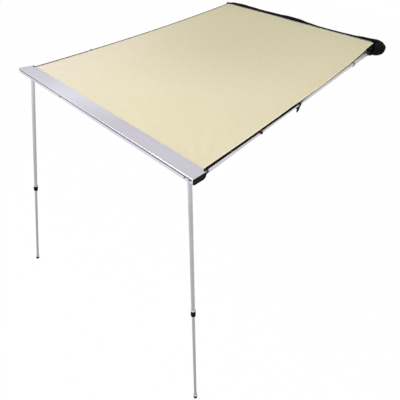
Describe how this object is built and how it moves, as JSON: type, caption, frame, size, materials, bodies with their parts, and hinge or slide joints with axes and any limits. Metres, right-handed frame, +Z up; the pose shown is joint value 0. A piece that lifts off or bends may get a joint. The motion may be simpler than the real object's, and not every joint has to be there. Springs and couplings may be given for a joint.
{
  "type": "vehicle side awning",
  "caption": "Pull-out side awning for a vehicle roof rack: a wall rail with cover, telescopic arms, stretched cloth, a trough beam and folding telescopic legs.",
  "frame": {"origin": "middle of the flat back face of the rail, where it meets the roof rack's brackets", "axes": "+X along the rail to the right as seen from the front of the awning, +Y towards the vehicle, +Z up; the cloth reaches out along -Y"},
  "size_m": [2.3412, 2.8446, 2.5395],
  "materials": {
    "rail_aluminium": "satin anodised",
    "tube_aluminium": "satin anodised",
    "black_plastic": "matte",
    "cap_plastic": "matte",
    "cover_vinyl": "matte vinyl-coated",
    "binding_tape": "woven tape",
    "canopy_canvas": "woven, matte",
    "bead_cord": "matte",
    "zinc_steel": "zinc plated",
    "dark_steel": "blackened",
    "tan_nylon": "matte",
    "collar_nylon": "matte",
    "white_nylon": "matte",
    "foot_rubber": "matte",
    "zip_nylon": "coil zip",
    "zip_metal": "polished"
  },
  "bodies": {
    "root": {"rail_extrusion": "rail_aluminium", "cover_upper_flap": "cover_vinyl", "cover_lower_flap": "cover_vinyl", "zip_tape_lower": "zip_nylon", "canopy_cloth": "canopy_canvas", "canopy_rear_bead": "bead_cord", "rail_end_cap_left": "black_plastic", "cover_end_panel_left": "cover_vinyl", "canopy_binding_left": "binding_tape", "arm_bracket_left": "black_plastic", "arm_pivot_pin_left": "zinc_steel", "arm_bracket_screw_left": "zinc_steel", "rail_end_cap_right": "black_plastic", "cover_end_panel_right": "cover_vinyl", "canopy_binding_right": "binding_tape", "arm_bracket_right": "black_plastic", "arm_pivot_pin_right": "zinc_steel", "arm_bracket_screw_right": "zinc_steel"},
    "zip_pull": {"zip_slider": "zip_metal"},
    "beam": {"beam_extrusion": "rail_aluminium", "canopy_front_bead": "bead_cord", "beam_front_screw_1": "dark_steel", "beam_front_screw_2": "dark_steel", "beam_front_screw_3": "dark_steel", "beam_end_cap_left": "cap_plastic", "arm_hook_plate_left": "zinc_steel", "beam_end_cap_right": "cap_plastic", "arm_hook_plate_right": "zinc_steel", "leg_left_yoke": "zinc_steel", "leg_right_yoke": "zinc_steel"},
    "arm_left_outer": {"arm_left_knuckle": "tube_aluminium", "arm_left_outer_tube": "tube_aluminium", "arm_left_clamp": "tan_nylon", "arm_left_lever_pin": "zinc_steel"},
    "arm_left_clamp_lever": {"arm_left_lever": "black_plastic"},
    "arm_left_inner": {"arm_left_inner_tube": "tube_aluminium", "arm_left_tip_fork": "tube_aluminium"},
    "leg_left_block": {"leg_left_tilt_block": "dark_steel", "leg_left_fold_bolt": "dark_steel"},
    "leg_left_upper": {"leg_left_top_fitting": "black_plastic", "leg_left_upper_tube": "tube_aluminium"},
    "leg_left_twist_collar": {"leg_left_collar": "collar_nylon"},
    "leg_left_lower": {"leg_left_lower_tube": "tube_aluminium", "leg_left_ferrule": "white_nylon", "leg_left_foot": "foot_rubber"},
    "arm_right_outer": {"arm_right_knuckle": "tube_aluminium", "arm_right_outer_tube": "tube_aluminium", "arm_right_clamp": "tan_nylon", "arm_right_lever_pin": "zinc_steel"},
    "arm_right_clamp_lever": {"arm_right_lever": "black_plastic"},
    "arm_right_inner": {"arm_right_inner_tube": "tube_aluminium", "arm_right_tip_fork": "tube_aluminium"},
    "leg_right_block": {"leg_right_tilt_block": "dark_steel", "leg_right_fold_bolt": "dark_steel"},
    "leg_right_upper": {"leg_right_top_fitting": "black_plastic", "leg_right_upper_tube": "tube_aluminium"},
    "leg_right_twist_collar": {"leg_right_collar": "collar_nylon"},
    "leg_right_lower": {"leg_right_lower_tube": "tube_aluminium", "leg_right_ferrule": "white_nylon", "leg_right_foot": "foot_rubber"}
  },
  "joints": [
    {"name": "beam_slide", "type": "slide", "parent": "root", "child": "beam", "axis": [0, 0.993, 0.1179], "range_m": [0, 0.92], "deforming": ["canopy_cloth", "canopy_binding_left", "canopy_binding_right"]},
    {"name": "arm_left_swing", "type": "hinge", "parent": "root", "child": "arm_left_outer", "pos_m": [-0.853, -0.05, -0.04], "axis": [0, 0, 1], "range_deg": [0, 20]},
    {"name": "arm_left_extend", "type": "slide", "parent": "arm_left_outer", "child": "arm_left_inner", "axis": [0, 0.993, 0.1179], "range_m": [0, 0.92]},
    {"name": "arm_left_lever_turn", "type": "hinge", "parent": "arm_left_outer", "child": "arm_left_clamp_lever", "pos_m": [-0.853, -1.41736, -0.22805], "axis": [-1, 0, 0], "range_deg": [0, 75]},
    {"name": "arm_right_swing", "type": "hinge", "parent": "root", "child": "arm_right_outer", "pos_m": [0.853, -0.05, -0.04], "axis": [0, 0, -1], "range_deg": [0, 20]},
    {"name": "arm_right_extend", "type": "slide", "parent": "arm_right_outer", "child": "arm_right_inner", "axis": [0, 0.993, 0.1179], "range_m": [0, 0.92]},
    {"name": "arm_right_lever_turn", "type": "hinge", "parent": "arm_right_outer", "child": "arm_right_clamp_lever", "pos_m": [0.853, -1.41736, -0.22805], "axis": [-1, 0, 0], "range_deg": [0, 75]},
    {"name": "leg_left_tilt", "type": "hinge", "parent": "beam", "child": "leg_left_block", "pos_m": [-0.749, -2.4745, -0.3115], "axis": [-1, 0, 0], "range_deg": [-9.5, 0]},
    {"name": "leg_left_fold", "type": "hinge", "parent": "leg_left_block", "child": "leg_left_upper", "pos_m": [-0.749, -2.47772, -0.33073], "axis": [0, -0.9863, 0.1652], "range_deg": [0, 92.5]},
    {"name": "leg_left_extend", "type": "slide", "parent": "leg_left_upper", "child": "leg_left_lower", "axis": [0.1326, 0.1638, 0.9775], "range_m": [0, 0.85]},
    {"name": "leg_left_collar_twist", "type": "hinge", "parent": "leg_left_upper", "child": "leg_left_twist_collar", "pos_m": [-0.89222, -2.6546, -1.38648], "axis": [0.1326, 0.1638, 0.9775], "range_deg": [0, 90]},
    {"name": "leg_right_tilt", "type": "hinge", "parent": "beam", "child": "leg_right_block", "pos_m": [0.783, -2.4365, -0.3115], "axis": [-1, 0, 0], "range_deg": [-4.5, 5]},
    {"name": "leg_right_fold", "type": "hinge", "parent": "leg_right_block", "child": "leg_right_upper", "pos_m": [0.783, -2.4381, -0.33093], "axis": [0, 0.9966, -0.0819], "range_deg": [0, 98]},
    {"name": "leg_right_extend", "type": "slide", "parent": "leg_right_upper", "child": "leg_right_lower", "axis": [-0.2299, 0.0797, 0.9699], "range_m": [0, 0.85]},
    {"name": "leg_right_collar_twist", "type": "hinge", "parent": "leg_right_upper", "child": "leg_right_twist_collar", "pos_m": [1.03132, -2.52419, -1.37847], "axis": [-0.2299, 0.0797, 0.9699], "range_deg": [0, 90]},
    {"name": "zip_slide", "type": "slide", "parent": "root", "child": "zip_pull", "axis": [-1, 0, 0], "range_m": [0, 1.7]}
  ],
  "couplings": [
    {"joint": "arm_left_extend", "follows": "beam_slide", "ratio": 1},
    {"joint": "arm_right_extend", "follows": "beam_slide", "ratio": 1}
  ]
}
